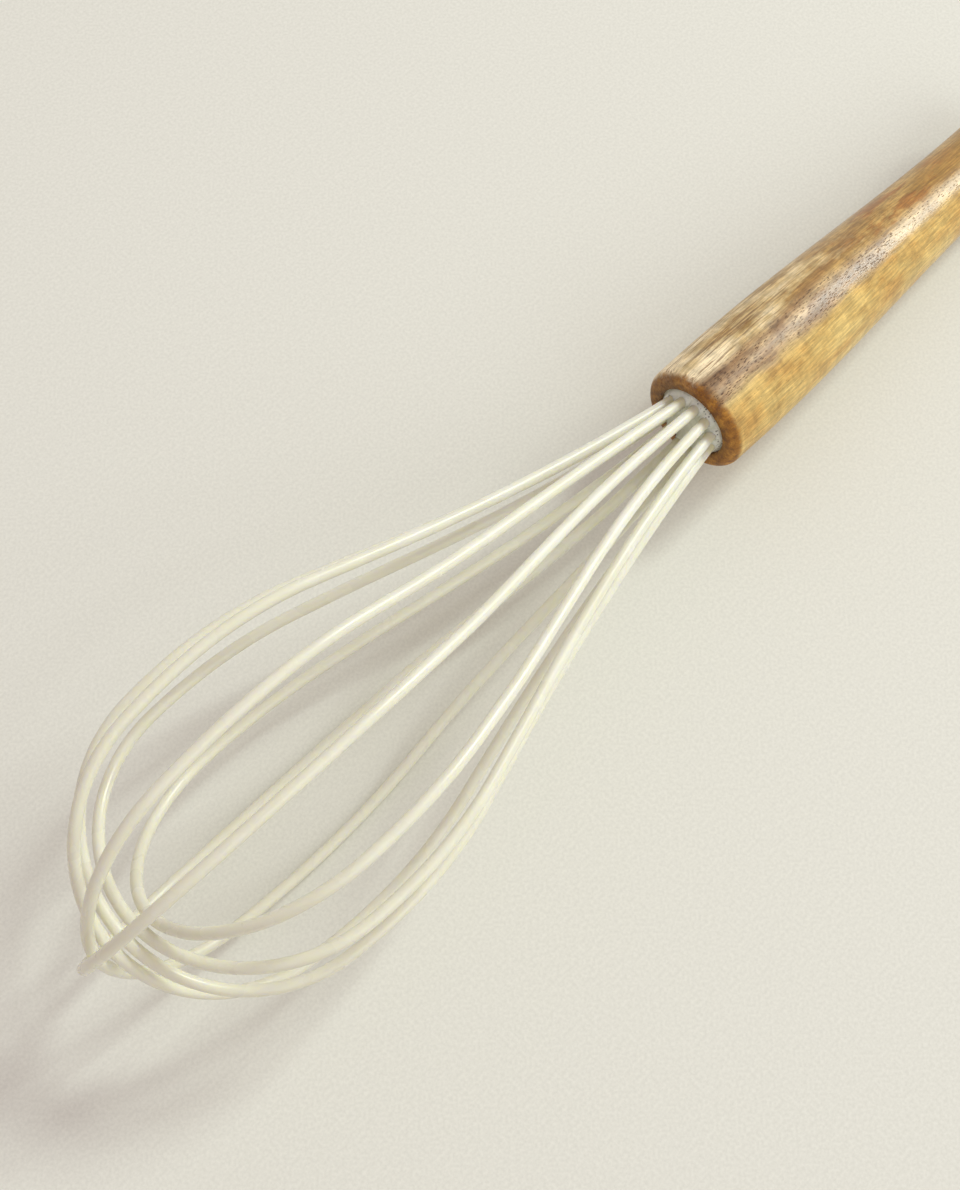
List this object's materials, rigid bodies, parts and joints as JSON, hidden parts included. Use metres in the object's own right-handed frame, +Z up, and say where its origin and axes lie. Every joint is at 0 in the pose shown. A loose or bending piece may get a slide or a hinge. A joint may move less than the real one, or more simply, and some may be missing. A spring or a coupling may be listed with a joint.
{
  "type": "balloon whisk",
  "caption": "Balloon whisk with nested silicone-sleeved wire loops sealed by resin in a turned wooden handle with a hang hole.",
  "frame": {"origin": "middle of the bounding box at the height of the table on which the whisk rests", "axes": "+X towards the tip of the head along the whisk's length, +Z up from the table, +Y across, along the hang hole"},
  "size_m": [0.3225, 0.072, 0.0729],
  "materials": {
    "wood": "oiled satin, grain along the handle",
    "resin": "poured, slightly cloudy",
    "holder": "moulded",
    "silicone": "smooth satin silicone",
    "steel": "drawn spring wire"
  },
  "bodies": {
    "root": {"handle": "wood", "resin_seal": "resin", "wire_holder": "holder", "sleeve_loop_1": "silicone", "sleeve_loop_2": "silicone", "sleeve_loop_3": "silicone", "sleeve_loop_4": "silicone", "sleeve_loop_5": "silicone", "sleeve_loop_6": "silicone", "wire_loop_1": "steel", "wire_loop_2": "steel", "wire_loop_3": "steel", "wire_loop_4": "steel", "wire_loop_5": "steel", "wire_loop_6": "steel"}
  },
  "joints": []
}
